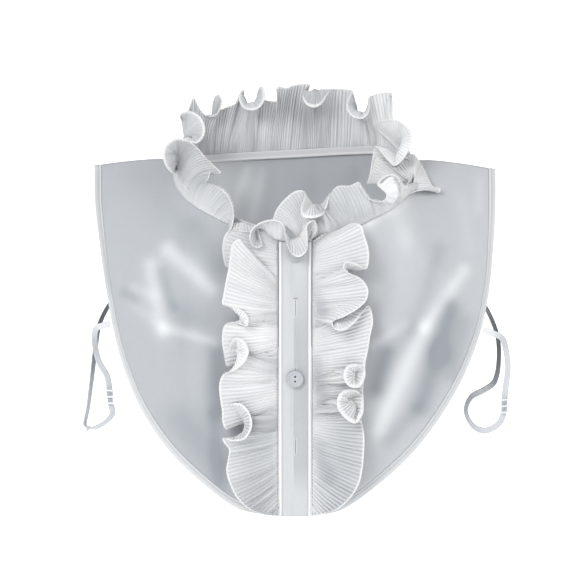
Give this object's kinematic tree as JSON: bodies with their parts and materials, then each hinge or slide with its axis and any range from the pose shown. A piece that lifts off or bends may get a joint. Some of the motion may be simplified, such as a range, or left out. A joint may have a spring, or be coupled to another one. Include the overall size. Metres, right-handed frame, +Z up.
{
  "type": "ruffled stand-collar dickey",
  "caption": "Sheer false blouse front with a pleated stand ruffle, pleated frills beside a button placket, a short back bib and elastic side straps.",
  "frame": {"origin": "middle of the neck opening, where the wearer's neck and shoulders hold the piece up", "axes": "+X to the right as seen from the front, +Y from front to back, +Z up"},
  "size_m": [0.3419, 0.1906, 0.3202],
  "materials": {
    "sheer_cloth": "matt sheer crepe",
    "pleated_cloth": "fine accordion pleats with an overlocked edge",
    "elastic": "ribbed narrow elastic",
    "button_plastic": "satin pearl white",
    "slider_plastic": "smooth white"
  },
  "bodies": {
    "root": {"front_panel_left": "sheer_cloth", "front_hem_left": "sheer_cloth", "front_panel_right": "sheer_cloth", "front_hem_right": "sheer_cloth", "back_panel": "sheer_cloth", "back_hem": "sheer_cloth", "neckband": "sheer_cloth", "placket": "sheer_cloth", "under_placket": "sheer_cloth", "collar_ruffle": "pleated_cloth", "jabot_ruffle_left": "pleated_cloth", "jabot_ruffle_right": "pleated_cloth", "strap_left": "elastic", "strap_right": "elastic", "button_top": "button_plastic", "button_middle": "button_plastic", "slider_left": "slider_plastic", "slider_right": "slider_plastic"}
  },
  "joints": []
}
